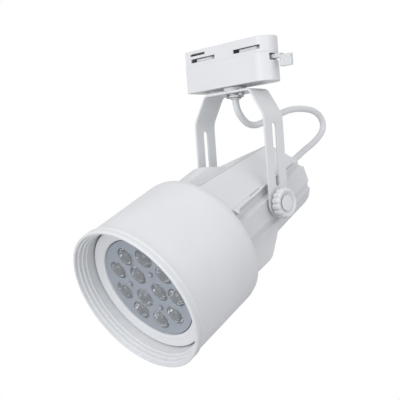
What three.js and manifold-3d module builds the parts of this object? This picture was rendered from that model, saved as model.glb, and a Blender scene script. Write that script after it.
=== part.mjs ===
// Track spotlight: a track adapter, a swivelling bent-strip yoke and a tilting lamp head.
// Millimetres, +Z up, Y along the adapter and the tilt axis. The origin is on the track face.
import * as THREE from 'three';
import { mergeVertices } from 'three/addons/utils/BufferGeometryUtils.js';
import Module from 'manifold-3d';

const wasm = await Module();
wasm.setup();

// ---- driving dimensions ----
const GAP = 0.3; // running gap between pieces that touch

const ADAPTER_LENGTH = 84.5;
const ADAPTER_WIDTH = 23;
const ADAPTER_HEIGHT = 33;
const ADAPTER_WALL = 2;
const SEAM_Z = -11.7; // between the adapter's cover and its body
const END_R = ADAPTER_WIDTH / 2;
const END_Y = ADAPTER_LENGTH / 2 - END_R; // centre of the rounded end
const ROTOR_Y = [-22, 23.4];
const SLOT_LENGTH = 26;
const LEVER_Y = END_Y;

const YOKE_TOP_Z = -36.5;
const YOKE_WIDTH = 21;
const YOKE_THICK = 1.6;
const YOKE_HALF = 36.7; // tilt-axis distance from the centre to a leg's outer face
const SHOULDER_Y = 23.6; // where the top plate turns into the shoulder
const SHOULDER_Z = -57.5; // where the shoulder turns into the leg
const SLOT_W = 4.6;
const SLOT_TOP_Z = -63.6;
const SLOT_END_Z = -111.6;

const PIVOT_Z = -124;
const REST_TILT = 26; // degrees that the head points below the horizontal

const HOUSING_BACK = -40;
const HOUSING_FRONT = 58;
const CAP_BACK = -46.5;
const DRAFT = 0.00115; // growth of the casting's section per mm towards the front
const BORE_R = 25.5; // inside of the rear housing
const TAPER = 0.08; // widening of a cover panel towards the front
const PANEL_TILT = 36.83; // degrees from the top to a cover panel's normal
const PANEL_DIST = 30; // from the head's axis to a cover panel's face

const SHADE_BACK = 54;
const SHADE_FRONT = 124;
const SHADE_BACK_R = 53;
const SHADE_FRONT_R = 54.3;
const SHADE_WALL = 1.6;
const RING_FRONT = 130.6;
const RING_R = 55.4;
const OPTIC_R = 38.8; // lens plate
const OPTIC_T = 114.8; // its front face
const LENS_COUNT = 9;
const LENS_CIRCLE = [26.5, 11.2]; // radii of the outer and inner circles of lenses
const LENS_R = 6.8;
const LENS_START = -17; // degrees from the top to the first outer lens

const KNOB_R = 11.4;
const KNOB_FRONT = 44.8;
const KNOB_LOBES = 14;
const CABLE_R = 2.65;

const SEGS = 48; // sides of the large turned pieces

// ---- materials ----
const paint = (color, roughness, metalness = 0) =>
  new THREE.MeshStandardMaterial({ color, roughness, metalness });
const WHITE_PLASTIC = paint(0xe9eaeb, 0.5);
const WHITE_PAINT = paint(0xe4e6e8, 0.42, 0.1);
const CAST_PAINT = paint(0xdcdfe2, 0.48, 0.1);
const CLEAR = paint(0xe8eef2, 0.1);
const GREY_PLASTIC = paint(0x7d8794, 0.45);
const STEEL = paint(0x9a9da1, 0.35, 0.9);
const BRASS = paint(0xc09a55, 0.35, 0.9);
const NYLON = paint(0xf0efe9, 0.55);
const BOARD = paint(0xcfd6d8, 0.5);
const DARK_PLASTIC = paint(0x3a3d42, 0.6);

const group = new THREE.Group();
group.name = 'track_spotlight';

// ---- solids ----
const rad = (deg) => (deg * Math.PI) / 180;

function solid(geometry) {
  const bare = new THREE.BufferGeometry();
  bare.setAttribute('position', geometry.getAttribute('position'));
  bare.setIndex(geometry.getIndex());
  const merged = mergeVertices(bare, 1e-4);
  const index = merged.getIndex().array;
  const faces = [];
  for (let i = 0; i < index.length; i += 3) {
    const [a, b, c] = [index[i], index[i + 1], index[i + 2]];
    if (a !== b && b !== c && a !== c) faces.push(a, b, c);
  }
  return new wasm.Manifold(new wasm.Mesh({
    numProp: 3,
    vertProperties: new Float32Array(merged.getAttribute('position').array),
    triVerts: new Uint32Array(faces),
  }));
}

function geometryOf(body) {
  const mesh = body.getMesh();
  const geometry = new THREE.BufferGeometry();
  geometry.setAttribute('position', new THREE.BufferAttribute(new Float32Array(mesh.vertProperties), 3));
  geometry.setIndex(new THREE.BufferAttribute(new Uint32Array(mesh.triVerts), 1));
  return geometry;
}

function add(name, body, material) {
  const geometry = geometryOf(body).toNonIndexed();
  geometry.computeVertexNormals();
  const mesh = new THREE.Mesh(geometry, material);
  mesh.name = name;
  group.add(mesh);
}

function box(x0, x1, y0, y1, z0, z1) {
  const geometry = new THREE.BoxGeometry(x1 - x0, y1 - y0, z1 - z0);
  geometry.translate((x0 + x1) / 2, (y0 + y1) / 2, (z0 + z1) / 2);
  return solid(geometry);
}

// Sweeps a closed outline along an axis. The outline is in the next two axes, in cyclic order.
const AXES = {
  x: [[0, 1, 0], [0, 0, 1], [1, 0, 0]],
  y: [[0, 0, 1], [1, 0, 0], [0, 1, 0]],
  z: [[1, 0, 0], [0, 1, 0], [0, 0, 1]],
};

function prismGeometry(axis, outline, from, to, steps = 1) {
  const shape = new THREE.Shape(outline.map(([u, v]) => new THREE.Vector2(u, v)));
  const geometry = new THREE.ExtrudeGeometry(shape, { depth: to - from, steps, bevelEnabled: false });
  geometry.translate(0, 0, from);
  const [u, v, w] = AXES[axis].map((d) => new THREE.Vector3(...d));
  geometry.applyMatrix4(new THREE.Matrix4().makeBasis(u, v, w));
  return geometry;
}

const prism = (axis, outline, from, to) => solid(prismGeometry(axis, outline, from, to));

// Turns a profile of [radius, position] about an axis, whichever way round it is listed.
function turned(axis, profile, segments = SEGS) {
  const points = profile.map(([r, t]) => new THREE.Vector2(r, t));
  if (THREE.ShapeUtils.area(points) < 0) points.reverse();
  const geometry = new THREE.LatheGeometry(points, segments);
  if (axis === 'x') geometry.rotateZ(-Math.PI / 2);
  if (axis === 'z') geometry.rotateX(Math.PI / 2);
  return solid(geometry);
}

const closed = (profile) => [...profile, profile[0]];
const rod = (axis, r, from, to, segments = 20) =>
  turned(axis, [[0, from], [r, from], [r, to], [0, to]], segments);
const tube = (axis, inner, outer, from, to, segments = 32) =>
  turned(axis, closed([[inner, from], [outer, from], [outer, to], [inner, to]]), segments);

function arc(cx, cy, r, from, to, steps) {
  const points = [];
  for (let i = 0; i <= steps; i++) {
    const a = rad(from + ((to - from) * i) / steps);
    points.push([cx + r * Math.cos(a), cy + r * Math.sin(a)]);
  }
  return points;
}

const hexagon = (across, cx = 0, cy = 0) => arc(cx, cy, across / Math.sqrt(3), 0, 300, 5);
const polar = (deg, r) => [r * Math.sin(rad(deg)), r * Math.cos(rad(deg))];

// Rounds the corners of an open line of points; each corner has its own radius.
function rounded(points, radii, steps) {
  const out = [points[0]];
  for (let i = 1; i < points.length - 1; i++) {
    const p = new THREE.Vector2(...points[i]);
    const a = new THREE.Vector2(...points[i - 1]).sub(p).normalize();
    const b = new THREE.Vector2(...points[i + 1]).sub(p).normalize();
    const half = a.angleTo(b) / 2;
    const reach = radii[i - 1] / Math.tan(half);
    const middle = a.clone().add(b).normalize().multiplyScalar(radii[i - 1] / Math.sin(half)).add(p);
    const start = p.clone().addScaledVector(a, reach).sub(middle);
    const end = p.clone().addScaledVector(b, reach).sub(middle);
    let turn = end.angle() - start.angle();
    if (turn > Math.PI) turn -= 2 * Math.PI;
    if (turn < -Math.PI) turn += 2 * Math.PI;
    for (let k = 0; k <= steps; k++) {
      const at = start.clone().rotateAround(new THREE.Vector2(), (turn * k) / steps).add(middle);
      out.push([at.x, at.y]);
    }
  }
  out.push(points[points.length - 1]);
  return out;
}

// ---- adapter ----
function adapterOutline(inset) {
  const x = END_R - inset;
  const y = -ADAPTER_LENGTH / 2 + inset;
  const r = Math.max(2.5 - inset, 0.5);
  return [
    ...arc(-x + r, y + r, r, 180, 270, 3),
    ...arc(x - r, y + r, r, 270, 360, 3),
    ...arc(0, END_Y, x, 0, 180, 16),
  ];
}

// A window through both long sides or through one of them.
function sideWindow(y0, y1, z0, z1, side) {
  const x = END_R + 1;
  return box(side < 0 ? -x : side > 0 ? 5 : -x, side < 0 ? -5 : x, y0, y1, z0, z1);
}

function adapterCover() {
  const inner = END_R - ADAPTER_WALL;
  let body = prism('z', adapterOutline(0), SEAM_Z, 0)
    .subtract(prism('z', adapterOutline(ADAPTER_WALL), SEAM_Z - 1, -ADAPTER_WALL));
  for (const side of [-1, 1]) {
    const band = side * (END_R - 0.5);
    body = body.subtract(box(Math.min(band, side * 20), Math.max(band, side * 20), -50, 37.6, SEAM_Z - 1, 1));
  }
  for (const y of ROTOR_Y) {
    body = body.subtract(sideWindow(y - SLOT_LENGTH / 2, y + SLOT_LENGTH / 2, -9.6, -6.6, 0));
  }
  body = body.subtract(sideWindow(-35.5, -19.4, -4.4, -2.6, 1));
  body = body.subtract(sideWindow(20.8, 36.9, -4.4, -2.6, -1));
  return body.subtract(box(-inner, inner, -8, 8, -1.2, 1)).add(box(-inner - 1, inner + 1, -7.4, 7.4, -1.6, 0));
}

function leverWindow() {
  const outline = [[0, LEVER_Y], ...arc(0, LEVER_Y, 16, 64, 152, 6)];
  return prism('z', outline, -18.2, -13.2);
}

function adapterBody() {
  const floor = -ADAPTER_HEIGHT + 2.5;
  let body = prism('z', adapterOutline(0), -ADAPTER_HEIGHT, SEAM_Z - GAP)
    .subtract(prism('z', adapterOutline(ADAPTER_WALL), floor, 0));
  for (const y of [-22, 22]) {
    body = body.subtract(box(-3.6, 3.6, y - 10, y + 10, -ADAPTER_HEIGHT - 1, floor + 1));
  }
  body = body.subtract(leverWindow());
  return body.subtract(rod('z', 5.4, -ADAPTER_HEIGHT - 1, floor + 1, 24));
}

// A lock cam: a shaft with a two-ended blade, lying along the adapter while the lamp is unlocked.
function rotor(y) {
  const blade = [[-2.5, -14.4], [2.5, -14.4], [9, -8], [9, 8], [2.5, 14.4], [-2.5, 14.4], [-9, 8], [-9, -8]];
  return prism('z', blade, -9.2, -7)
    .add(rod('z', 4, -12.4, -4.8, 16))
    .add(rod('z', 1.6, -5, -2.4, 12))
    .translate([0, y, 0]);
}

// The contact on a cam's shaft, which swings out on one side only.
function contact(y, towards) {
  const blade = [[-2.2, 0], [2.2, 0], [2.2, towards * 9.5], [0, towards * 13.2], [-2.2, towards * 11]];
  return prism('z', towards > 0 ? blade : blade.reverse(), -3.9, -3.1)
    .add(rod('z', 3.6, -3.9, -3.1, 16))
    .subtract(rod('z', 1.9, -5, -2, 12))
    .translate([0, y, 0]);
}

function lever() {
  const tab = rounded([[0, 47.2], [1.8, 47.2], [1.8, 57.7], [0, 57.7]], [0.5, 1], 3);
  const back = tab.slice(1, -1).reverse().map(([x, y]) => [-x, y]);
  return rod('z', 4, -19, -13, 20)
    .translate([0, LEVER_Y, 0])
    .add(box(-2, 2, LEVER_Y, 49, -17.2, -14.2))
    .add(prism('z', [...tab, ...back], -24, -15.6));
}

function buildAdapter() {
  add('adapter_body', adapterBody(), WHITE_PLASTIC);
  add('adapter_cover', adapterCover(), WHITE_PLASTIC);
  add('lock_lever', lever(), CLEAR);
  add('rotor_left', rotor(ROTOR_Y[0]), WHITE_PLASTIC);
  add('rotor_right', rotor(ROTOR_Y[1]), WHITE_PLASTIC);
  add('contact_left', contact(ROTOR_Y[0], -1), BRASS);
  add('contact_right', contact(ROTOR_Y[1], 1), BRASS);
  const wires = rod('x', 1.5, -9, 9, 10);
  add('terminal_block', box(-6, 6, 9.2, 19.4, -30.2, -21)
    .subtract(wires.translate([0, 11.8, -25]))
    .subtract(wires.translate([0, 16.8, -25])), WHITE_PLASTIC);
}

// ---- swivel hub ----
function nut(across, bore, from, to) {
  return prism('z', hexagon(across), from, to).subtract(rod('z', bore, from - 1, to + 1, 20));
}

function buildHub() {
  const plateBottom = YOKE_TOP_Z - YOKE_THICK;
  add('nipple', tube('z', 3.1, 4.9, -41, -26.6, 24), STEEL);
  add('nipple_nut', nut(15, 5.2, -30.2, -27.2), STEEL);
  add('hub_spacer', tube('z', 5.3, 9, YOKE_TOP_Z + GAP, -ADAPTER_HEIGHT - GAP, 32), WHITE_PLASTIC);
  add('hub_washer', tube('z', 5.3, 7.2, plateBottom - 0.9, plateBottom - GAP, 28), STEEL);
  add('hub_nut', nut(11.6, 5.2, plateBottom - 2.7, plateBottom - 1.2), STEEL);
  add('cable_bushing', turned('z', closed([[3.1, -41.3], [4.6, -41.3], [4.3, -42.1], [3.1, -42.4]]), 20), NYLON);
}

// ---- yoke ----
// The strip's line, seen along X, for a face that lies a depth inside the outer face.
function stripLine(depth) {
  const down = new THREE.Vector2(YOKE_HALF - SHOULDER_Y, SHOULDER_Z - YOKE_TOP_Z).normalize();
  const top = YOKE_TOP_Z - depth;
  const y = YOKE_HALF - depth;
  const start = new THREE.Vector2(SHOULDER_Y + down.y * depth, YOKE_TOP_Z - down.x * depth);
  const corner = start.clone().addScaledVector(down, (top - start.y) / down.y);
  const knee = start.clone().addScaledVector(down, (y - start.x) / down.x);
  const line = [[0, top], [corner.x, corner.y], [knee.x, knee.y], [y, PIVOT_Z - YOKE_WIDTH]];
  return rounded(line, [6 - depth, 16 - depth], 5).slice(1);
}

function legSlot() {
  const r = SLOT_W / 2;
  return [...arc(SLOT_TOP_Z - r, 0, r, -90, 90, 6), ...arc(SLOT_END_Z + r, 0, r, 90, 270, 6)];
}

function buildYoke() {
  const mirror = (line) => line.map(([y, z]) => [-y, z]);
  const outer = stripLine(0);
  const inner = stripLine(YOKE_THICK);
  const strip = [...mirror(outer).reverse(), ...outer, ...[...inner].reverse(), ...mirror(inner)];
  const half = YOKE_WIDTH / 2;
  const leg = [[0, -half], [0, half], ...arc(PIVOT_Z, 0, half, 90, 270, 14)];
  let yoke = prism('x', strip, -half, half).intersect(prism('y', leg, -50, 50));
  yoke = yoke.subtract(prism('y', legSlot(), -50, 50));
  yoke = yoke.subtract(rod('y', 3.2, -50, 50, 20).translate([0, 0, PIVOT_Z]));
  yoke = yoke.subtract(rod('z', 5.3, -50, -30, 24));
  for (const side of [-1, 1]) {
    yoke = yoke.subtract(rod('z', 1.8, -50, -30, 12).translate([5 * side, 10.5 * side, 0]));
    const screw = rod('z', 1.5, -39, -34.6, 12).add(rod('z', 2.7, -40.2, -38.4, 14));
    add(side < 0 ? 'stop_screw_a' : 'stop_screw_b', screw.translate([5 * side, 10.5 * side, 0]), STEEL);
  }
  add('yoke', yoke, WHITE_PAINT);
}

// ---- tilt pivots and knobs, on both sides ----
function knobOutline() {
  const points = [];
  const step = 360 / KNOB_LOBES;
  for (let i = 0; i < KNOB_LOBES; i++) {
    for (const [at, r] of [[0, KNOB_R], [0.3, KNOB_R], [0.5, KNOB_R - 1], [0.8, KNOB_R - 1]]) {
      points.push(polar((i + at) * step, r));
    }
  }
  return points.reverse();
}

function knob() {
  return prism('y', knobOutline(), 38.4, KNOB_FRONT - 0.8)
    .add(rod('y', KNOB_R - 1.2, 38.2, KNOB_FRONT, 28))
    .add(rod('y', 7.6, YOKE_HALF + GAP, 39, 24))
    .subtract(rod('y', 8.6, KNOB_FRONT - 1.5, KNOB_FRONT + 1, 24))
    .add(rod('y', 6.9, KNOB_FRONT - 2.5, KNOB_FRONT - 0.4, 24))
    .subtract(rod('y', 6.2, KNOB_FRONT - 1.5, KNOB_FRONT + 1, 20))
    .subtract(rod('y', 3.1, 30, KNOB_FRONT - 2.6, 16));
}

function pivotScrew() {
  return prism('y', hexagon(8), 21.4, 24.6).add(rod('y', 2.8, 24.4, 41.8, 16));
}

function buildPivots() {
  const pieces = {
    pivot_screw: [pivotScrew(), STEEL],
    pivot_washer: [tube('y', 3.2, 8, 33.6, 34.8, 24), NYLON],
    knob: [knob(), WHITE_PLASTIC],
    knob_cap: [rod('y', 5.9, KNOB_FRONT - 1.2, KNOB_FRONT, 20), WHITE_PLASTIC],
  };
  for (const [name, [body, material]] of Object.entries(pieces)) {
    const near = body.translate([0, 0, PIVOT_Z]);
    add(`${name}_near`, near, material);
    add(`${name}_far`, near.rotate([0, 0, 180]), material);
  }
}

// ---- lamp head ----
// Head pieces are made with the beam along X and the pivot at the origin, then tilted.
const tilted = (body) => body.rotate([0, REST_TILT, 0]).translate([0, 0, PIVOT_Z]);
const addHead = (name, body, material) => add(name, tilted(body), material);

// A point [along the panel, away from the axis] in the head's section.
function onPanel(along, away) {
  const [ny, nz] = polar(PANEL_TILT, 1);
  return [along * nz + away * ny, -along * ny + away * nz];
}

// Grows a section towards the front: the casting's draft, and the ridges that rise beside the covers.
function drafted(outline, from, to) {
  const geometry = prismGeometry('x', outline, from, to);
  const p = geometry.getAttribute('position');
  const [ny, nz] = polar(PANEL_TILT, 1);
  for (let i = 0; i < p.count; i++) {
    const [t, y, z] = [p.getX(i), p.getY(i), p.getZ(i)];
    const side = Math.sign(z);
    const onRidge = Math.abs(z) > 30 && side * y < 8 && side * y > (side > 0 ? -1 : 3);
    const reach = onRidge ? side * TAPER * (t + 22) : 0;
    const rise = onRidge && side > 0 && y < 3 ? 0.09 * (t + 24) : 0;
    const k = 1 + DRAFT * t;
    p.setXYZ(i, t, y * k - nz * reach - 0.42 * rise, z * k + ny * reach + 0.91 * rise);
  }
  return solid(geometry);
}

// Half of the casting's section, from the ridge past the cover seat and the three side ribs.
const HALF_SECTION = [
  [6.3, 32.6],
  onPanel(-14.4, PANEL_DIST - 2.4),
  onPanel(15.6, PANEL_DIST - 2.4),
  [28, 9.2],
  [31.9, 7.2],
  [32.9, 7],
  [32.5, -6.8],
  [31.2, -7.1],
  [29.6, -11.4],
  [31.2, -13.4],
  polar(130, 34.2),
  polar(143, 33.9),
  polar(156, 33.6),
  polar(168, 33.4),
  polar(180, 33.4),
];
const turnedRound = (points) => points.map(([y, z]) => [-y, -z]);
const FAR_TOP = [[-29.4, 15.8], [0.6, 32.4], [2, 33.1]]; // the flat far side of the ridge
const SECTION = [...HALF_SECTION, ...turnedRound(HALF_SECTION.slice(0, 8)), ...FAR_TOP].reverse();

// The deep wings beside the shade: one over the top and one under the bottom.
const HALF_WING = [
  [1.6, 30.2],
  [2, 34],
  [1.6, 39],
  [0, 43],
  ...[-8, -18, -28, -36, -43].map((deg) => polar(deg, 45.2)),
  [-30.8, 26],
  [-31.3, 13.8],
];

function wings() {
  const outline = [...HALF_WING, ...turnedRound(HALF_WING)];
  const chamfer = turned('x', [[0, -0.2], [33.2, -0.2], [45.2, 22], [46.2, 57], [0, 57]]);
  return prism('x', outline, -0.2, HOUSING_FRONT).intersect(chamfer);
}

const CAP_SCREWS = [128, 180, 298];
const onCircle = (body, deg, r) => body.translate([0, ...polar(deg, r)]);

function rearHousing() {
  const bore = rod('x', BORE_R, HOUSING_BACK - 1, HOUSING_FRONT + 1, 32);
  let body = drafted(SECTION, HOUSING_BACK, HOUSING_FRONT - 4)
    .add(rod('x', 36, 44, HOUSING_FRONT, SEGS))
    .add(wings())
    .add(rod('y', 8.6, -33.3, 33.3, 24))
    .subtract(bore)
    .subtract(rod('y', 3.1, -40, 40, 16));
  for (const deg of CAP_SCREWS) {
    body = body.subtract(onCircle(rod('x', 1.8, HOUSING_BACK - 1, -30, 10), deg, 28.3));
  }
  return body;
}

// A flat cover with a raised rib along its lower edge and a latch notch. Its front corner hooks down.
function coverPanel() {
  const low = PANEL_DIST - 2.1;
  const plate = [
    onPanel(-13.9, low), onPanel(15.2, low), onPanel(15.2, PANEL_DIST + 1.1),
    onPanel(13, PANEL_DIST + 1.1), onPanel(12.6, PANEL_DIST), onPanel(-13.9, PANEL_DIST),
  ];
  const strip = (from, to, low, high) =>
    [onPanel(from, low), onPanel(to, low), onPanel(to, high), onPanel(from, high)].reverse();
  let cover = drafted([...plate].reverse(), HOUSING_BACK + 0.6, 40.5);
  for (const [back, reach] of [[35.6, 15.8], [37.2, 16.6], [38.5, 17.8]]) {
    cover = cover.add(drafted(strip(13.2, reach, PANEL_DIST - 0.4, PANEL_DIST + 1.1), back, 40.5));
  }
  return cover.subtract(drafted(strip(12.2, 18, PANEL_DIST + 0.3, 40), 6.6, 19.5));
}

function rearCap() {
  let cap = drafted(SECTION, CAP_BACK, HOUSING_BACK - GAP)
    .add(rod('x', BORE_R - 0.4, HOUSING_BACK - 2, HOUSING_BACK + 3, 32))
    .subtract(rod('x', BORE_R - 2.4, HOUSING_BACK - 2.5, HOUSING_BACK + 4, 32))
    .subtract(rod('x', 5.3, CAP_BACK - 1, -30, 20));
  for (const deg of CAP_SCREWS) {
    cap = cap.subtract(onCircle(rod('x', 1.8, CAP_BACK - 1, -30, 10), deg, 28.3))
      .subtract(onCircle(rod('x', 3.2, CAP_BACK - 1, CAP_BACK + 2.4, 20), deg, 28.3));
  }
  return cap;
}

function buildHousing() {
  addHead('rear_housing', rearHousing(), CAST_PAINT);
  addHead('cover_upper', coverPanel(), WHITE_PAINT);
  addHead('cover_lower', coverPanel().rotate([180, 0, 0]), WHITE_PAINT);
  addHead('rear_cap', rearCap(), CAST_PAINT);
  const screw = rod('x', 1.5, CAP_BACK + 1, -32, 10).add(rod('x', 2.9, CAP_BACK + 0.4, CAP_BACK + 2.1, 16));
  CAP_SCREWS.forEach((deg, i) => addHead(`cap_screw_${i + 1}`, onCircle(screw, deg, 28.3), STEEL));
  const gland = prism('x', hexagon(14), CAP_BACK - 4, CAP_BACK - GAP)
    .add(rod('x', 4.9, CAP_BACK - 8, -38, 20))
    .subtract(rod('x', 3, CAP_BACK - 20, -30, 16));
  addHead('cable_gland', gland, NYLON);
  const cone = turned('x', closed([[3, -59.5], [4.6, -59.5], [6.2, -58], [6.2, -50.8], [5.2, -50.8], [5.2, -54.8],
    [3, -54.8]]), 20);
  addHead('gland_nut', cone, NYLON);
  addHead('driver_module', box(-28, 42, -16, 16, -14, 15), DARK_PLASTIC);
}

// ---- shade, front ring and bezel ----
function shadeRadius(t) {
  return SHADE_BACK_R + ((SHADE_FRONT_R - SHADE_BACK_R) * (t - SHADE_BACK)) / (SHADE_FRONT - SHADE_BACK);
}

function buildShade() {
  const w = SHADE_WALL;
  const r = SHADE_BACK_R;
  addHead('shade', turned('x', closed([
    [SHADE_FRONT_R, SHADE_FRONT],
    [shadeRadius(60), 60], [r - 0.6, 56.4], [r - 2, 54.6], [r - 3.8, SHADE_BACK],
    [r - 3.8, SHADE_BACK + w], [r - 2.6, 56.4], [shadeRadius(60) - w, 60],
    [SHADE_FRONT_R - w, SHADE_FRONT],
  ])), WHITE_PAINT);
  addHead('front_ring', turned('x', closed([
    [RING_R - 0.1, SHADE_FRONT + GAP], [RING_R - 0.1, 125.7], [54.8, 126], [54.8, 128.2], [RING_R, 128.5],
    [RING_R, 129.8], [54.6, RING_FRONT], [53.4, RING_FRONT - 0.2], [53, 128.2], [51.9, 128], [51.6, 125.5],
    [50.6, 125.3], [50.3, 122.8], [49.5, 122.6], [49.3, 112], [50.8, 112], [52.2, 118], [52.2, SHADE_FRONT + GAP],
  ])), WHITE_PLASTIC);
  addHead('bezel', turned('x', closed([
    [39.2, 104.6], [48.5, 104.6], [48.5, 115.3], [47.6, 116.2], [41, 115.8], [39.9, 115.6], [39.2, 114.6],
  ])), WHITE_PLASTIC);
  addHead('lamp_carrier', tube('x', 12, 51.8, 101, 104.2, SEGS), CAST_PAINT);
  addHead('carrier_tube', tube('x', 40, 43, HOUSING_FRONT + GAP, 101 - GAP, 40), CAST_PAINT);
}

// ---- light engine ----
function lensPlaces() {
  const outer = Array.from({ length: LENS_COUNT }, (_, i) => [LENS_START + 40 * i, LENS_CIRCLE[0]]);
  const inner = [0, 120, 240].map((deg) => [LENS_START + deg, LENS_CIRCLE[1]]);
  return [...outer, ...inner];
}

const LENS_SCREWS = [-78, 42, 162];

function buildOptics() {
  let plate = rod('x', OPTIC_R, 107, OPTIC_T, SEGS);
  let board = rod('x', 38.4, 104.5, 106, 40);
  const lens = turned('x', [[0, 106.7], [3, 106.7], [LENS_R, 112.8], [LENS_R, 114.4], [5.4, 115.8], [2.9, 116.9],
    [0, 117.3]], 16);
  lensPlaces().forEach(([deg, r], i) => {
    plate = plate.subtract(onCircle(rod('x', LENS_R + GAP, 100, 120, 16), deg, r));
    board = board.add(onCircle(rod('x', 1.9, 105.5, 106.4, 8), deg, r));
    addHead(`lens_${String(i + 1).padStart(2, '0')}`, onCircle(lens, deg, r), CLEAR);
  });
  LENS_SCREWS.forEach((deg, i) => {
    plate = plate.subtract(onCircle(rod('x', 1.4, 100, 120, 8), deg, 16.2));
    const screw = rod('x', 1.1, 108, 115.3, 8).add(turned('x', [[0, 115.1], [2, 115.1], [1.6, 116.4], [0, 116.8]], 12));
    addHead(`lens_screw_${i + 1}`, onCircle(screw, deg, 16.2), NYLON);
  });
  addHead('lens_plate', plate, GREY_PLASTIC);
  addHead('led_board', board, BOARD);
}

// ---- power cable, from inside the adapter through the nipple to the gland on the head ----
function cablePath() {
  const along = (t) => [t * Math.cos(rad(REST_TILT)), PIVOT_Z - t * Math.sin(rad(REST_TILT))];
  const line = [
    [0, -24], [0, -38], [0, -45.6], [-2, -51.6], [-6.2, -56.9], [-11.8, -60.8], [-19.4, -62.2], [-28, -60.8],
    [-41, -56.4], [-54, -52.6], [-64, -50], [-75, -48.6], [-86, -48.6], [-97.5, -50.1], [-106.2, -54.2],
    [-110.4, -60.6], [-109.2, -66.6], [-103.2, -72.4], [-94, -78], [-81.5, -83.9],
    along(-72), along(-60), along(-48), along(-31),
  ];
  return new THREE.CatmullRomCurve3(line.map(([x, z]) => new THREE.Vector3(x, 0, z)), false, 'centripetal');
}

function buildCable() {
  const shape = new THREE.Shape(arc(0, 0, CABLE_R, 0, 324, 9).map(([x, y]) => new THREE.Vector2(x, y)));
  const geometry = new THREE.ExtrudeGeometry(shape, { steps: 52, bevelEnabled: false, extrudePath: cablePath() });
  add('power_cable', solid(geometry), WHITE_PLASTIC);
}

buildAdapter();
buildHub();
buildYoke();
buildPivots();
buildHousing();
buildShade();
buildOptics();
buildCable();

export default group;
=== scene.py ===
"""Track spotlight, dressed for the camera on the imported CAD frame.

Metres in the scene; outlines are in millimetres and scaled once. +Z is up and Y runs along the adapter.
"""

import math

import bmesh
import bpy
from mathutils import Matrix, Vector


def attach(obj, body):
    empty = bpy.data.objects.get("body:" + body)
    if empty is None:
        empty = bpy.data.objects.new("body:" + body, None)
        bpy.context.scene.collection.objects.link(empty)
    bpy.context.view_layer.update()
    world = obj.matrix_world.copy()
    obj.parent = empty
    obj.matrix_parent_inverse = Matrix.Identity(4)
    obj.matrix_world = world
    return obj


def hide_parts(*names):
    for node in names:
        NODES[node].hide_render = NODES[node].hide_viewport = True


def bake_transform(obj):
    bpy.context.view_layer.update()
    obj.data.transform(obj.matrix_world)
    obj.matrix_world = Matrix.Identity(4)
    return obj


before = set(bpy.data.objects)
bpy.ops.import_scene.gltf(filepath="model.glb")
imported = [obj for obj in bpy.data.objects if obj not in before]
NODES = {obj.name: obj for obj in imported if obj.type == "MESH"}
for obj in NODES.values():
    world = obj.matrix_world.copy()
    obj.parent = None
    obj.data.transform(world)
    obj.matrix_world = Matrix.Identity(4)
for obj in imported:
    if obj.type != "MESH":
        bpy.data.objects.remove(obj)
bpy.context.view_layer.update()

MM = 0.001
PIVOT_Z = -124.0
TILT = math.radians(26.0)
UPRIGHT = Matrix.Scale(MM, 4)
PIVOT = Matrix.Translation((0, 0, PIVOT_Z * MM)) @ UPRIGHT
HEAD = Matrix.Translation((0, 0, PIVOT_Z * MM)) @ Matrix.Rotation(TILT, 4, "Y") @ UPRIGHT


# ---- camera, at the photograph's angle ----
def make_camera():
    """Stands where a camera fitted to the photograph stands, and looks the same way."""
    place = (0.448, 0.409, -0.1026)
    data = bpy.data.cameras.new("camera")
    data.sensor_width = 36.0
    data.lens = 70.1
    data.clip_start, data.clip_end = 0.02, 40.0
    camera = bpy.data.objects.new("camera", data)
    bpy.context.scene.collection.objects.link(camera)
    right = Vector((-0.7105, 0.7000, -0.0722)).normalized()
    back = Vector((0.7003, 0.7134, 0.0255))
    back = (back - right * back.dot(right)).normalized()
    up = back.cross(right)
    turn = Matrix((right, up, back)).transposed().to_4x4()
    camera.matrix_world = Matrix.Translation(place) @ turn
    bpy.context.scene.camera = camera


# ---- mesh helpers ----
def on_axis(axis, r, angle, along):
    """A point at a radius and angle round an axis. On X and Y the angle starts at +Z."""
    s, c = r * math.sin(angle), r * math.cos(angle)
    return {"x": (along, s, c), "y": (s, along, c), "z": (c, s, along)}[axis]


def soften(points, radius, steps=4, wrap=True, least=9.0):
    """Rounds the corners of an outline, as far as its sides leave room."""
    out = []
    n = len(points)
    for i, point in enumerate(points):
        p = Vector(point)
        if not wrap and i in (0, n - 1):
            out.append(tuple(p))
            continue
        a, b = Vector(points[i - 1]) - p, Vector(points[(i + 1) % n]) - p
        turn = math.pi - a.angle(b)
        if turn < math.radians(least):
            out.append(tuple(p))
            continue
        reach = min(radius * math.tan(turn / 2), 0.45 * a.length, 0.45 * b.length)
        start, end = p + a.normalized() * reach, p + b.normalized() * reach
        for k in range(steps + 1):
            t = k / steps
            q = start * (1 - t) ** 2 + p * 2 * t * (1 - t) + end * t**2
            out.append(tuple(q))
    return out


LOBE_SHARPNESS = 3.5  # higher makes the dips between lobes narrower


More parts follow.
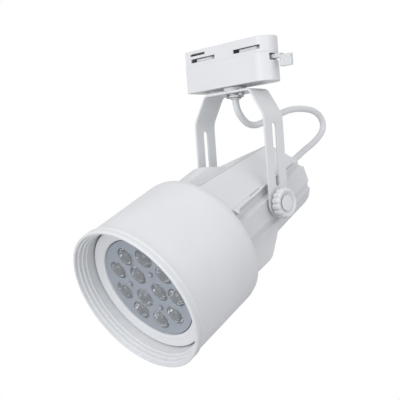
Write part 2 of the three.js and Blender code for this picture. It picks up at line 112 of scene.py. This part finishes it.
def lathe(profile, segments=128, axis="x", wrap=True, lobes=0, depth=0.0, fluted=()):
    """Turns an outline of (radius, position). The points numbered in fluted are cut into lobes."""
    bm = bmesh.new()
    rings = []
    for i, (r, along) in enumerate(profile):
        if r < 1e-6:
            rings.append([bm.verts.new(on_axis(axis, 0, 0, along))])
            continue
        ring = []
        for k in range(segments):
            angle = 2 * math.pi * k / segments
            dip = 0.0
            if i in fluted:
                wave = 0.5 - 0.5 * math.cos(lobes * angle)
                dip = depth * wave**LOBE_SHARPNESS
            ring.append(bm.verts.new(on_axis(axis, r - dip, angle, along)))
        rings.append(ring)
    pairs = list(zip(rings, rings[1:]))
    if wrap:
        pairs.append((rings[-1], rings[0]))
    for one, two in pairs:
        if len(one) == 1 and len(two) == 1:
            continue
        for k in range(segments):
            j = (k + 1) % segments
            corners = [one[k % len(one)], one[j % len(one)], two[j % len(two)], two[k % len(two)]]
            bm.faces.new(list(dict.fromkeys(corners)))
    bmesh.ops.recalc_face_normals(bm, faces=bm.faces)
    return bm


WELD = 3e-6  # vertices closer than this, in metres, are one


def refined(node, width, angle=30.0, segments=2, flat=0.6):
    """A copy of a CAD node's shape with whole flat faces and its hard edges rolled over."""
    bm = bmesh.new()
    bm.from_mesh(NODES[node].data)
    bmesh.ops.remove_doubles(bm, verts=bm.verts, dist=WELD)
    limit = math.radians(flat)
    bmesh.ops.dissolve_limit(bm, angle_limit=limit, verts=bm.verts, edges=bm.edges)
    hard = [e for e in bm.edges if len(e.link_faces) == 2 and e.calc_face_angle() > math.radians(angle)]
    bmesh.ops.bevel(
        bm, geom=hard, offset=width * MM, segments=segments, profile=0.6, affect="EDGES", clamp_overlap=True
    )
    return bm


def piece(name, bm, body, finish, nodes=(), place=UPRIGHT, angle=50.0):
    """Makes an object of a mesh, with smooth faces between its hard edges, and puts it on its body."""
    bm.transform(place)
    bmesh.ops.recalc_face_normals(bm, faces=bm.faces)
    mesh = bpy.data.meshes.new(name)
    bm.to_mesh(mesh)
    bm.free()
    mesh.polygons.foreach_set("use_smooth", [True] * len(mesh.polygons))
    mesh.set_sharp_from_angle(angle=math.radians(angle))
    mesh.materials.append(finish)
    obj = bpy.data.objects.new(name, mesh)
    bpy.context.scene.collection.objects.link(obj)
    weighted = obj.modifiers.new("weighted", "WEIGHTED_NORMAL")
    weighted.keep_sharp = True
    if nodes:
        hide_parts(*nodes)
    if body:
        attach(obj, body)
    return obj


def recopy(node, name, width, body, finish):
    """Stands a refined copy of a CAD node in its place, and brings its seams close together."""
    bm = refined(node, width)
    if node in SEAMS:
        place, pick, shift = SEAMS[node]
        back = place.inverted()
        move = place.to_3x3() @ Vector(shift)
        for vert in bm.verts:
            if pick(back @ vert.co):
                vert.co += move
    return piece(name, bm, body, finish, [node], Matrix.Identity(4))


# Which points move, and how far in millimetres, to close most of the CAD's running gap at a seam.
# On the covers, 0.8 y - 0.6 z is the distance across the panel from the middle of the head.
SEAMS = {
    "adapter_cover": (UPRIGHT, lambda p: p.z < -11.2, (0, 0, -0.26)),
    "rear_cap": (HEAD, lambda p: p.x > -40.9 and math.hypot(p.y, p.z) > 26.5, (0.26, 0, 0)),
    "cover_upper": (HEAD, lambda p: 0.8 * p.y - 0.6 * p.z < -5, (0, -0.28, 0.21)),
    "cover_lower": (HEAD, lambda p: 0.8 * p.y - 0.6 * p.z > 5, (0, 0.28, -0.21)),
}


# ---- finishes ----
class Finish:
    """A small builder for a Principled material made only of procedural nodes."""

    def __init__(self, name, **fixed):
        self.material = bpy.data.materials.new(name)
        self.material.use_nodes = True
        self.tree = self.material.node_tree
        self.shader = self.tree.nodes["Principled BSDF"]
        for socket, value in fixed.items():
            self.shader.inputs[socket.replace("_", " ")].default_value = value
        self.coords = self.add("ShaderNodeTexCoord").outputs["Object"]

    def add(self, kind, **settings):
        node = self.tree.nodes.new(kind)
        for key, value in settings.items():
            setattr(node, key, value)
        return node

    def link(self, source, target):
        self.tree.links.new(source, target)

    def noise(self, scale, detail=3.0, rough=0.5, stretch=None):
        node = self.add("ShaderNodeTexNoise")
        node.inputs["Scale"].default_value = scale
        node.inputs["Detail"].default_value = detail
        node.inputs["Roughness"].default_value = rough
        source = self.coords
        if stretch:
            mapping = self.add("ShaderNodeMapping")
            mapping.inputs["Scale"].default_value = stretch
            self.link(source, mapping.inputs["Vector"])
            source = mapping.outputs["Vector"]
        self.link(source, node.inputs["Vector"])
        return node.outputs["Fac"]

    def spread(self, source, low, high, start=0.3, end=0.7):
        """Spreads a texture's middle over a range of values."""
        node = self.add("ShaderNodeMapRange")
        for socket, value in zip(("From Min", "From Max", "To Min", "To Max"), (start, end, low, high)):
            node.inputs[socket].default_value = value
        self.link(source, node.inputs["Value"])
        return node.outputs["Result"]

    def blend(self, factor, one, two):
        """Mixes two colours, each a list of numbers or another node's output."""
        node = self.add("ShaderNodeMix", data_type="RGBA")
        self.link(factor, node.inputs["Factor"])
        for socket, value in ((node.inputs[6], one), (node.inputs[7], two)):
            if isinstance(value, (list, tuple)):
                socket.default_value = (*value, 1.0)
            else:
                self.link(value, socket)
        return node.outputs[2]

    def edges(self, start, end):
        """1 on the edges that stand proud, 0 elsewhere."""
        point = self.add("ShaderNodeNewGeometry").outputs["Pointiness"]
        return self.spread(point, 0.0, 1.0, start, end)

    def bumps(self, layers):
        """Stacks bumps of (height source, depth in metres)."""
        normal = None
        for height, depth in layers:
            node = self.add("ShaderNodeBump")
            node.inputs["Strength"].default_value = 1.0
            node.inputs["Distance"].default_value = depth
            self.link(height, node.inputs["Height"])
            if normal:
                self.link(normal, node.inputs["Normal"])
            normal = node.outputs["Normal"]
        self.link(normal, self.shader.inputs["Normal"])


def tinted(color, k):
    return [min(c * k, 1.0) for c in color]


def coated(name, color, rough, peel, peel_depth, mottle=0.02, edge_lift=0.05, **fixed):
    """Sprayed or powder-coated metal, or textured moulding: fine skin, faint mottling, lighter proud edges.
    """
    f = Finish(name, **fixed)
    cloud = f.spread(f.noise(28.0, 4.0), 0.0, 1.0)
    base = f.blend(cloud, tinted(color, 1 - mottle), tinted(color, 1 + mottle))
    dust = f.spread(f.noise(420.0, 6.0, 0.7), 0.0, 0.10, 0.56, 0.72)
    base = f.blend(dust, base, tinted(color, 0.86))
    # Proud edges, found by pointiness, are made a little lighter than the rest.
    proud_edge_mask = f.edges(0.52, 0.60)
    edge_lift_amount = f.add("ShaderNodeMath", operation="MULTIPLY")
    edge_lift_amount.inputs[1].default_value = edge_lift
    f.link(proud_edge_mask, edge_lift_amount.inputs[0])
    base = f.blend(edge_lift_amount.outputs[0], base, tinted(color, 1.14))
    f.link(base, f.shader.inputs["Base Color"])
    f.link(f.spread(f.noise(75.0, 5.0, 0.6), rough - 0.05, rough + 0.06), f.shader.inputs["Roughness"])
    f.bumps([(f.noise(peel, 2.0), peel_depth), (f.noise(peel * 0.23, 2.0), peel_depth)])
    return f.material


def clear(name, color, rough, transmission, **fixed):
    """Clear or cloudy moulding, with faint flow marks in it."""
    f = Finish(name, Base_Color=(*color, 1.0), Transmission_Weight=transmission, **fixed)
    f.link(f.spread(f.noise(240.0, 4.0), rough, rough + 0.05), f.shader.inputs["Roughness"])
    f.bumps([(f.noise(90.0, 2.0), 0.00003)])
    return f.material


def bare_metal(name, color, rough, **fixed):
    """Plated metal with fine turning lines and dulled patches."""
    f = Finish(name, Metallic=1.0, **fixed)
    tone = f.blend(f.spread(f.noise(180.0, 4.0), 0.0, 1.0), tinted(color, 0.84), color)
    f.link(tone, f.shader.inputs["Base Color"])
    f.link(f.spread(f.noise(600.0, 5.0), rough - 0.06, rough + 0.12), f.shader.inputs["Roughness"])
    f.bumps([(f.noise(1800.0, 2.0, stretch=(1.0, 1.0, 6.0)), 0.00002)])
    return f.material


WHITE = (0.655, 0.668, 0.69)
FINISH = {
    "powder": coated("powder_coat", WHITE, 0.44, 1500.0, 0.000014, Specular_IOR_Level=0.45),
    "cast": coated("cast_coat", tinted(WHITE, 0.97), 0.50, 1100.0, 0.00002, 0.03, 0.10),
    "moulded": coated("moulded_white", tinted(WHITE, 1.02), 0.40, 2400.0, 0.000007, 0.015, 0.06),
    "satin": coated("satin_white", tinted(WHITE, 1.06), 0.33, 2000.0, 0.000004, 0.01, 0.04),
    "cable": coated("cable_jacket", tinted(WHITE, 1.02), 0.38, 1300.0, 0.000008, 0.02, 0.0),
    "nylon": coated("nylon", (0.62, 0.62, 0.60), 0.5, 1700.0, 0.00003),
    "plate": coated("lens_plate_grey", (0.32, 0.35, 0.40), 0.42, 1900.0, 0.00001, 0.04, 0.15),
    "holder": coated("lens_holder", (0.62, 0.65, 0.69), 0.25, 900.0, 0.00002, 0.04),
    "peg": coated("peg_grey", (0.34, 0.37, 0.41), 0.22, 900.0, 0.00002, 0.04),
    "board": coated("board_white", (0.55, 0.57, 0.57), 0.45, 900.0, 0.00005, 0.05),
    "dark": coated("dark_moulded", (0.05, 0.055, 0.06), 0.55, 1500.0, 0.00004, 0.1),
    "lens": clear("lens_clear", (0.86, 0.89, 0.93), 0.03, 0.84, IOR=1.49),
    "lever": clear("lever_clear", (0.80, 0.82, 0.84), 0.24, 0.35, IOR=1.49),
    "steel": bare_metal("zinc_steel", (0.56, 0.57, 0.59), 0.34),
    "brass": bare_metal("contact_brass", (0.72, 0.54, 0.28), 0.30),
}


# ---- cable ----
def cable_line(samples=14):
    """The same route as the CAD's cable: a centripetal curve through its points, in metres."""
    route = [
        (0, -24), (0, -38), (0, -45.6), (-2, -51.6), (-6.2, -56.9), (-11.8, -60.8), (-19.4, -62.2),
        (-28, -60.8), (-41, -56.4), (-54, -52.6), (-64, -50), (-75, -48.6), (-86, -48.6), (-97.5, -50.1),
        (-106.2, -54.2), (-110.4, -60.6), (-109.2, -66.6), (-103.2, -72.4), (-94, -78), (-81.5, -83.9),
    ]
    for t in (-72, -60, -48, -31):
        route.append((t * math.cos(TILT), PIVOT_Z - t * math.sin(TILT)))
    p = [Vector(point) for point in route]
    p = [2 * p[0] - p[1], *p, 2 * p[-1] - p[-2]]
    line = []
    for a, b, c, d in zip(p, p[1:], p[2:], p[3:]):
        ta, tb = 0.0, (b - a).length ** 0.5
        tc = tb + (c - b).length ** 0.5
        td = tc + (d - c).length ** 0.5
        for k in range(samples):
            t = tb + (tc - tb) * k / samples
            ab = a * (tb - t) / (tb - ta) + b * (t - ta) / (tb - ta)
            bc = b * (tc - t) / (tc - tb) + c * (t - tb) / (tc - tb)
            cd = c * (td - t) / (td - tc) + d * (t - tc) / (td - tc)
            abc = ab * (tc - t) / (tc - ta) + bc * (t - ta) / (tc - ta)
            bcd = bc * (td - t) / (td - tb) + cd * (t - tb) / (td - tb)
            line.append(abc * (tc - t) / (tc - tb) + bcd * (t - tb) / (tc - tb))
    line.append(p[-2])
    return [Vector((x, 0.0, z)) * MM for x, z in line]


def make_cable():
    line = cable_line()
    bm = bmesh.new()
    sides, radius = 24, 2.65 * MM
    rings = []
    for i, at in enumerate(line):
        ahead = (line[min(i + 1, len(line) - 1)] - line[max(i - 1, 0)]).normalized()
        out = ahead.cross(Vector((0, 1, 0)))
        rings.append([
            bm.verts.new(at + radius * (math.cos(a) * out + math.sin(a) * Vector((0, 1, 0))))
            for a in (2 * math.pi * k / sides for k in range(sides))
        ])
    for one, two in zip(rings, rings[1:]):
        for k in range(sides):
            bm.faces.new((one[k], one[k - 1], two[k - 1], two[k]))
    bm.faces.new(rings[0])
    bm.faces.new(rings[-1])
    cable = piece(
        "supply_cable", bm, None, FINISH["cable"], ["power_cable"], Matrix.Identity(4), 60.0
    )
    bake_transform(cable)


make_camera()
make_cable()


# ---- shade, front ring, bezel, carrier ----
ROUND = 192  # sides of the head's widest turned pieces


def make_shade():
    outer = [(54.3, 124.0), (53.1, 60.0), (52.3, 56.4), (51.0, 54.6), (49.2, 54.0)]
    inner = [(49.2, 55.6), (50.4, 56.4), (51.5, 60.0), (52.7, 124.0)]
    shell = lathe(soften(outer + inner, 1.4), ROUND)
    piece("shade_shell", shell, "head", FINISH["powder"], ["shade"], HEAD)
    steps = [
        (55.3, 124.2), (55.3, 125.7), (54.8, 126.0), (54.8, 128.2), (55.4, 128.5), (55.4, 130.0),
        (54.8, 130.6), (53.5, 130.5), (53.0, 128.2), (51.9, 128.0), (51.6, 125.5), (50.6, 125.3),
        (50.3, 122.8), (49.5, 122.6), (49.3, 112.0), (50.8, 112.0), (52.2, 118.0), (52.2, 124.2),
    ]
    ring = lathe(soften(steps, 0.22), ROUND)
    piece("ring_front", ring, "head", FINISH["moulded"], ["front_ring"], HEAD)
    lip = [
        (39.2, 104.6), (48.5, 104.6), (48.5, 115.4), (47.8, 116.2), (46.6, 116.15), (43.6, 115.75),
        (40.8, 115.7), (39.7, 115.3), (39.2, 114.2),
    ]
    dish = lathe(soften(lip, 0.6), 160)
    piece("bezel_dish", dish, "head", FINISH["satin"], ["bezel"], HEAD)
    disc = [(12, 101), (51.8, 101), (51.8, 104.2), (12, 104.2)]
    skirt = [(40, 58.3), (43, 58.3), (43, 100.7), (40, 100.7)]
    for name, outline, node in (("disc", disc, "lamp_carrier"), ("skirt", skirt, "carrier_tube")):
        turned = lathe(soften(outline, 0.5), 96)
        piece(f"carrier_{name}", turned, "head", FINISH["cast"], [node], HEAD)


# ---- lenses and their plate ----
PEG_ANGLES = (-78, 42, 162)
PEG_CIRCLE = 16.2


def lens_places():
    """The angle and radius of each lens: nine in the outer circle and three in the inner one."""
    places = [(-17 + 40 * k, 26.5) for k in range(9)]
    return places + [(-17 + 120 * k, 11.2) for k in range(3)]


def moved(bm, degrees, radius):
    a = math.radians(degrees)
    bmesh.ops.translate(bm, verts=bm.verts, vec=(0, radius * math.sin(a), radius * math.cos(a)))
    return bm


def carve(bm, cutters):
    """Cuts whole solids out of one mesh with the exact boolean."""
    made = []

    def scratch(source):
        mesh = bpy.data.meshes.new("scratch")
        source.to_mesh(mesh)
        source.free()
        obj = bpy.data.objects.new("scratch", mesh)
        bpy.context.scene.collection.objects.link(obj)
        made.append(obj)
        return obj

    base = scratch(bm)
    for cutter in cutters:
        modifier = base.modifiers.new("cut", "BOOLEAN")
        modifier.solver = "EXACT"
        modifier.object = scratch(cutter)
    out = bmesh.new()
    out.from_object(base, bpy.context.evaluated_depsgraph_get())
    for obj in made:
        mesh = obj.data
        bpy.data.objects.remove(obj)
        bpy.data.meshes.remove(mesh)
    return out


def make_optics():
    rim = [(0, 107), (38.4, 107), (38.8, 107.4), (38.8, 114.3), (38.3, 114.8), (0, 114.8)]
    well = [(0, 100), (7.0, 100), (7.0, 114.2), (7.15, 114.5), (7.6, 115.0), (7.6, 120), (0, 120)]
    hole = [(0, 100), (1.4, 100), (1.4, 120), (0, 120)]
    cutters = [moved(lathe(well, 48, wrap=False), deg, r) for deg, r in lens_places()]
    cutters += [moved(lathe(hole, 16, wrap=False), deg, PEG_CIRCLE) for deg in PEG_ANGLES]
    plate = carve(lathe(rim, 128, wrap=False), cutters)
    shown = piece("optic_plate", plate, "head", FINISH["plate"], ["lens_plate"], HEAD)
    shown.data.materials.append(FINISH["holder"])
    back = HEAD.inverted()
    for face in shown.data.polygons:
        centre = back @ face.center
        if centre.x < 114.1 and math.hypot(centre.y, centre.z) < 36:
            face.material_index = 1

    dome = [(6.8, 112.6), (6.8, 113.7), (6.5, 114.1), (6.05, 114.3)]
    for k in range(9):
        a = math.radians(6 + 84 * k / 8)
        dome.append((6.0 * math.cos(a), 114.2 + 3.0 * math.sin(a)))
    dome[-1] = (0, dome[-1][1])
    cone = [(0, 108.6), (1.7, 108.1), (2.3, 106.8), (3.0, 106.75), (4.7, 109.0), (6.0, 111.2)]
    for i, (deg, r) in enumerate(lens_places()):
        number = f"{i + 1:02d}"
        ribs = range(len(cone) - 2, len(cone) + 2)
        lens = moved(lathe(cone + dome, 72, wrap=False, lobes=18, depth=0.35, fluted=ribs), deg, r)
        piece(f"optic_{number}", lens, "head", FINISH["lens"], [f"lens_{number}"], HEAD)

    peg = [
        (0, 108), (1.1, 108), (1.1, 115.1), (2.0, 115.1), (2.0, 115.5), (1.65, 116.3), (0.8, 116.75),
        (0, 116.8),
    ]
    for i, deg in enumerate(PEG_ANGLES):
        bm = moved(lathe(soften(peg, 0.3, 2, wrap=False), 24, wrap=False), deg, PEG_CIRCLE)
        piece(f"plate_peg_{i + 1}", bm, "head", FINISH["peg"], [f"lens_screw_{i + 1}"], HEAD)


# ---- knobs ----
KNOB_LOBES = 14


def make_knobs():
    skirt = [(8.0, 37.0), (7.9, 38.3)]
    grip = [(10.4, 38.4), (11.0, 38.7), (11.4, 39.3), (11.4, 43.2), (11.1, 43.9), (10.4, 44.4)]
    front = [(9.8, 44.75), (9.0, 44.8), (8.5, 44.65), (8.0, 44.1), (7.4, 43.45), (6.8, 43.2), (6.2, 43.2),
             (6.1, 42.9), (3.1, 42.6), (3.1, 37.0)]
    profile = skirt + grip + front
    fluted = range(len(skirt), len(skirt) + len(grip))
    button = [(0, 43.3), (5.6, 43.3), (5.9, 43.5), (5.9, 44.1), (5.6, 44.4), (4.0, 44.5), (0, 44.55)]
    for side, turn in (("near", 0.0), ("far", math.pi)):
        place = PIVOT @ Matrix.Rotation(turn, 4, "Z")
        body = f"knob_{side}"
        knob = lathe(profile, 14 * KNOB_LOBES, "y", lobes=KNOB_LOBES, depth=1.15, fluted=fluted)
        piece(f"grip_{side}", knob, body, FINISH["moulded"], [body], place)
        cap = lathe(soften(button, 0.25, 2, wrap=False), 48, "y", wrap=False)
        node = f"knob_cap_{side}"
        piece(f"button_{side}", cap, body, FINISH["satin"], [node], place)


# ---- pieces whose CAD shape is right, with their edges rolled over ----
RECOPIED = [
    # CAD node, new piece, edge radius, body, finish, slot
    ("adapter_cover", "adapter_lid", 0.35, "adapter", "moulded", "white_plastic"),
    ("adapter_body", "adapter_shell", 0.45, "adapter", "moulded", "white_plastic"),
    ("hub_spacer", "swivel_spacer", 0.3, "adapter", "moulded", "white_plastic"),
    ("hub_nut", "swivel_nut", 0.25, "adapter", "steel", "steel"),
    ("lock_lever", "lever_tab", 0.3, "lever", "lever", "clear_plastic"),
    ("rotor_left", "cam_blade_left", 0.25, "cam_left", "moulded", "white_plastic"),
    ("rotor_right", "cam_blade_right", 0.25, "cam_right", "moulded", "white_plastic"),
    ("yoke", "bracket", 0.3, "yoke", "powder", "white_paint"),
    ("stop_screw_a", "stop_pin_a", 0.2, "yoke", "steel", "steel"),
    ("stop_screw_b", "stop_pin_b", 0.2, "yoke", "steel", "steel"),
    ("rear_housing", "casting", 0.45, "head", "cast", "cast_paint"),
    ("cover_upper", "lid_upper", 0.3, "head", "powder", "white_paint"),
    ("cover_lower", "lid_lower", 0.3, "head", "powder", "white_paint"),
    ("rear_cap", "back_plate", 0.5, "head", "cast", "cast_paint"),
    ("cable_gland", "gland_body", 0.3, "head", "nylon", "nylon"),
    ("gland_nut", "gland_ring", 0.3, "head", "nylon", "nylon"),
    ("pivot_washer_near", "washer_near", 0.2, "head", "nylon", "nylon"),
    ("pivot_washer_far", "washer_far", 0.2, "head", "nylon", "nylon"),
    ("cap_screw_1", "back_screw_1", 0.25, "head", "steel", "steel"),
    ("cap_screw_2", "back_screw_2", 0.25, "head", "steel", "steel"),
    ("cap_screw_3", "back_screw_3", 0.25, "head", "steel", "steel"),
]

# The rest keep their CAD mesh and take a finish.
CARRIED = {
    "terminal_block": "moulded", "nipple": "steel", "nipple_nut": "steel", "hub_washer": "steel",
    "cable_bushing": "nylon", "contact_left": "brass", "contact_right": "brass", "led_board": "board",
    "driver_module": "dark", "pivot_screw_near": "steel", "pivot_screw_far": "steel",
}

make_shade()
make_optics()
make_knobs()
for node, name, width, body, finish, slot in RECOPIED:
    recopy(node, name, width, body, FINISH[finish])
for node, finish in CARRIED.items():
    NODES[node].data.materials.clear()
    NODES[node].data.materials.append(FINISH[finish])


# ---- studio ----
FLOOR_Z = -0.60  # well under the lamp, which hangs from its track


def make_floor():
    f = Finish("floor_white", Roughness=0.9)
    cloud = f.spread(f.noise(3.0), 0.0, 1.0)
    f.link(f.blend(cloud, (0.56, 0.565, 0.575), (0.59, 0.595, 0.605)), f.shader.inputs["Base Color"])
    bm = bmesh.new()
    bmesh.ops.create_circle(bm, cap_ends=True, segments=96, radius=1.0)
    bmesh.ops.translate(bm, verts=bm.verts, vec=(0, 0, FLOOR_Z))
    mesh = bpy.data.meshes.new("floor")
    bm.to_mesh(mesh)
    bm.free()
    mesh.materials.append(f.material)
    floor = bpy.data.objects.new("floor", mesh)
    bpy.context.scene.collection.objects.link(floor)


def make_light(name, place, target, size, power):
    data = bpy.data.lights.new(name, "AREA")
    data.shape = "DISK"
    data.size = size
    data.energy = power
    lamp = bpy.data.objects.new(name, data)
    bpy.context.scene.collection.objects.link(lamp)
    lamp.location = place
    lamp.rotation_mode = "QUATERNION"
    lamp.rotation_quaternion = (Vector(target) - Vector(place)).to_track_quat("-Z", "Y")


def make_world():
    """White behind the object; the light that falls on it is softer from below."""
    world = bpy.data.worlds.new("studio")
    bpy.context.scene.world = world
    world.use_nodes = True
    tree = world.node_tree
    tree.nodes.clear()
    coords = tree.nodes.new("ShaderNodeTexCoord")
    split = tree.nodes.new("ShaderNodeSeparateXYZ")
    height = tree.nodes.new("ShaderNodeMapRange")
    shown = tree.nodes.new("ShaderNodeLightPath")
    strength = tree.nodes.new("ShaderNodeMix")
    background = tree.nodes.new("ShaderNodeBackground")
    output = tree.nodes.new("ShaderNodeOutputWorld")
    for socket, value in zip(("From Min", "From Max", "To Min", "To Max"), (-0.6, 0.9, 0.58, 0.78)):
        height.inputs[socket].default_value = value
    strength.inputs[3].default_value = 1.0
    background.inputs["Color"].default_value = (1, 1, 1, 1)
    tree.links.new(coords.outputs["Generated"], split.inputs[0])
    tree.links.new(split.outputs["Z"], height.inputs["Value"])
    tree.links.new(shown.outputs["Is Camera Ray"], strength.inputs[0])
    tree.links.new(height.outputs["Result"], strength.inputs[2])
    tree.links.new(strength.outputs[0], background.inputs["Strength"])
    tree.links.new(background.outputs[0], output.inputs[0])


make_floor()
make_world()
make_light("key", (1.1, 0.2, 0.7), (0.03, 0, -0.13), 0.9, 5.5)
make_light("fill", (0.2, 1.3, 0.1), (0, 0, -0.12), 1.0, 4.0)
make_light("front", (1.5, 0.1, -0.35), (0.05, 0, -0.15), 0.9, 6.0)
bpy.context.scene.view_settings.view_transform = "Standard"
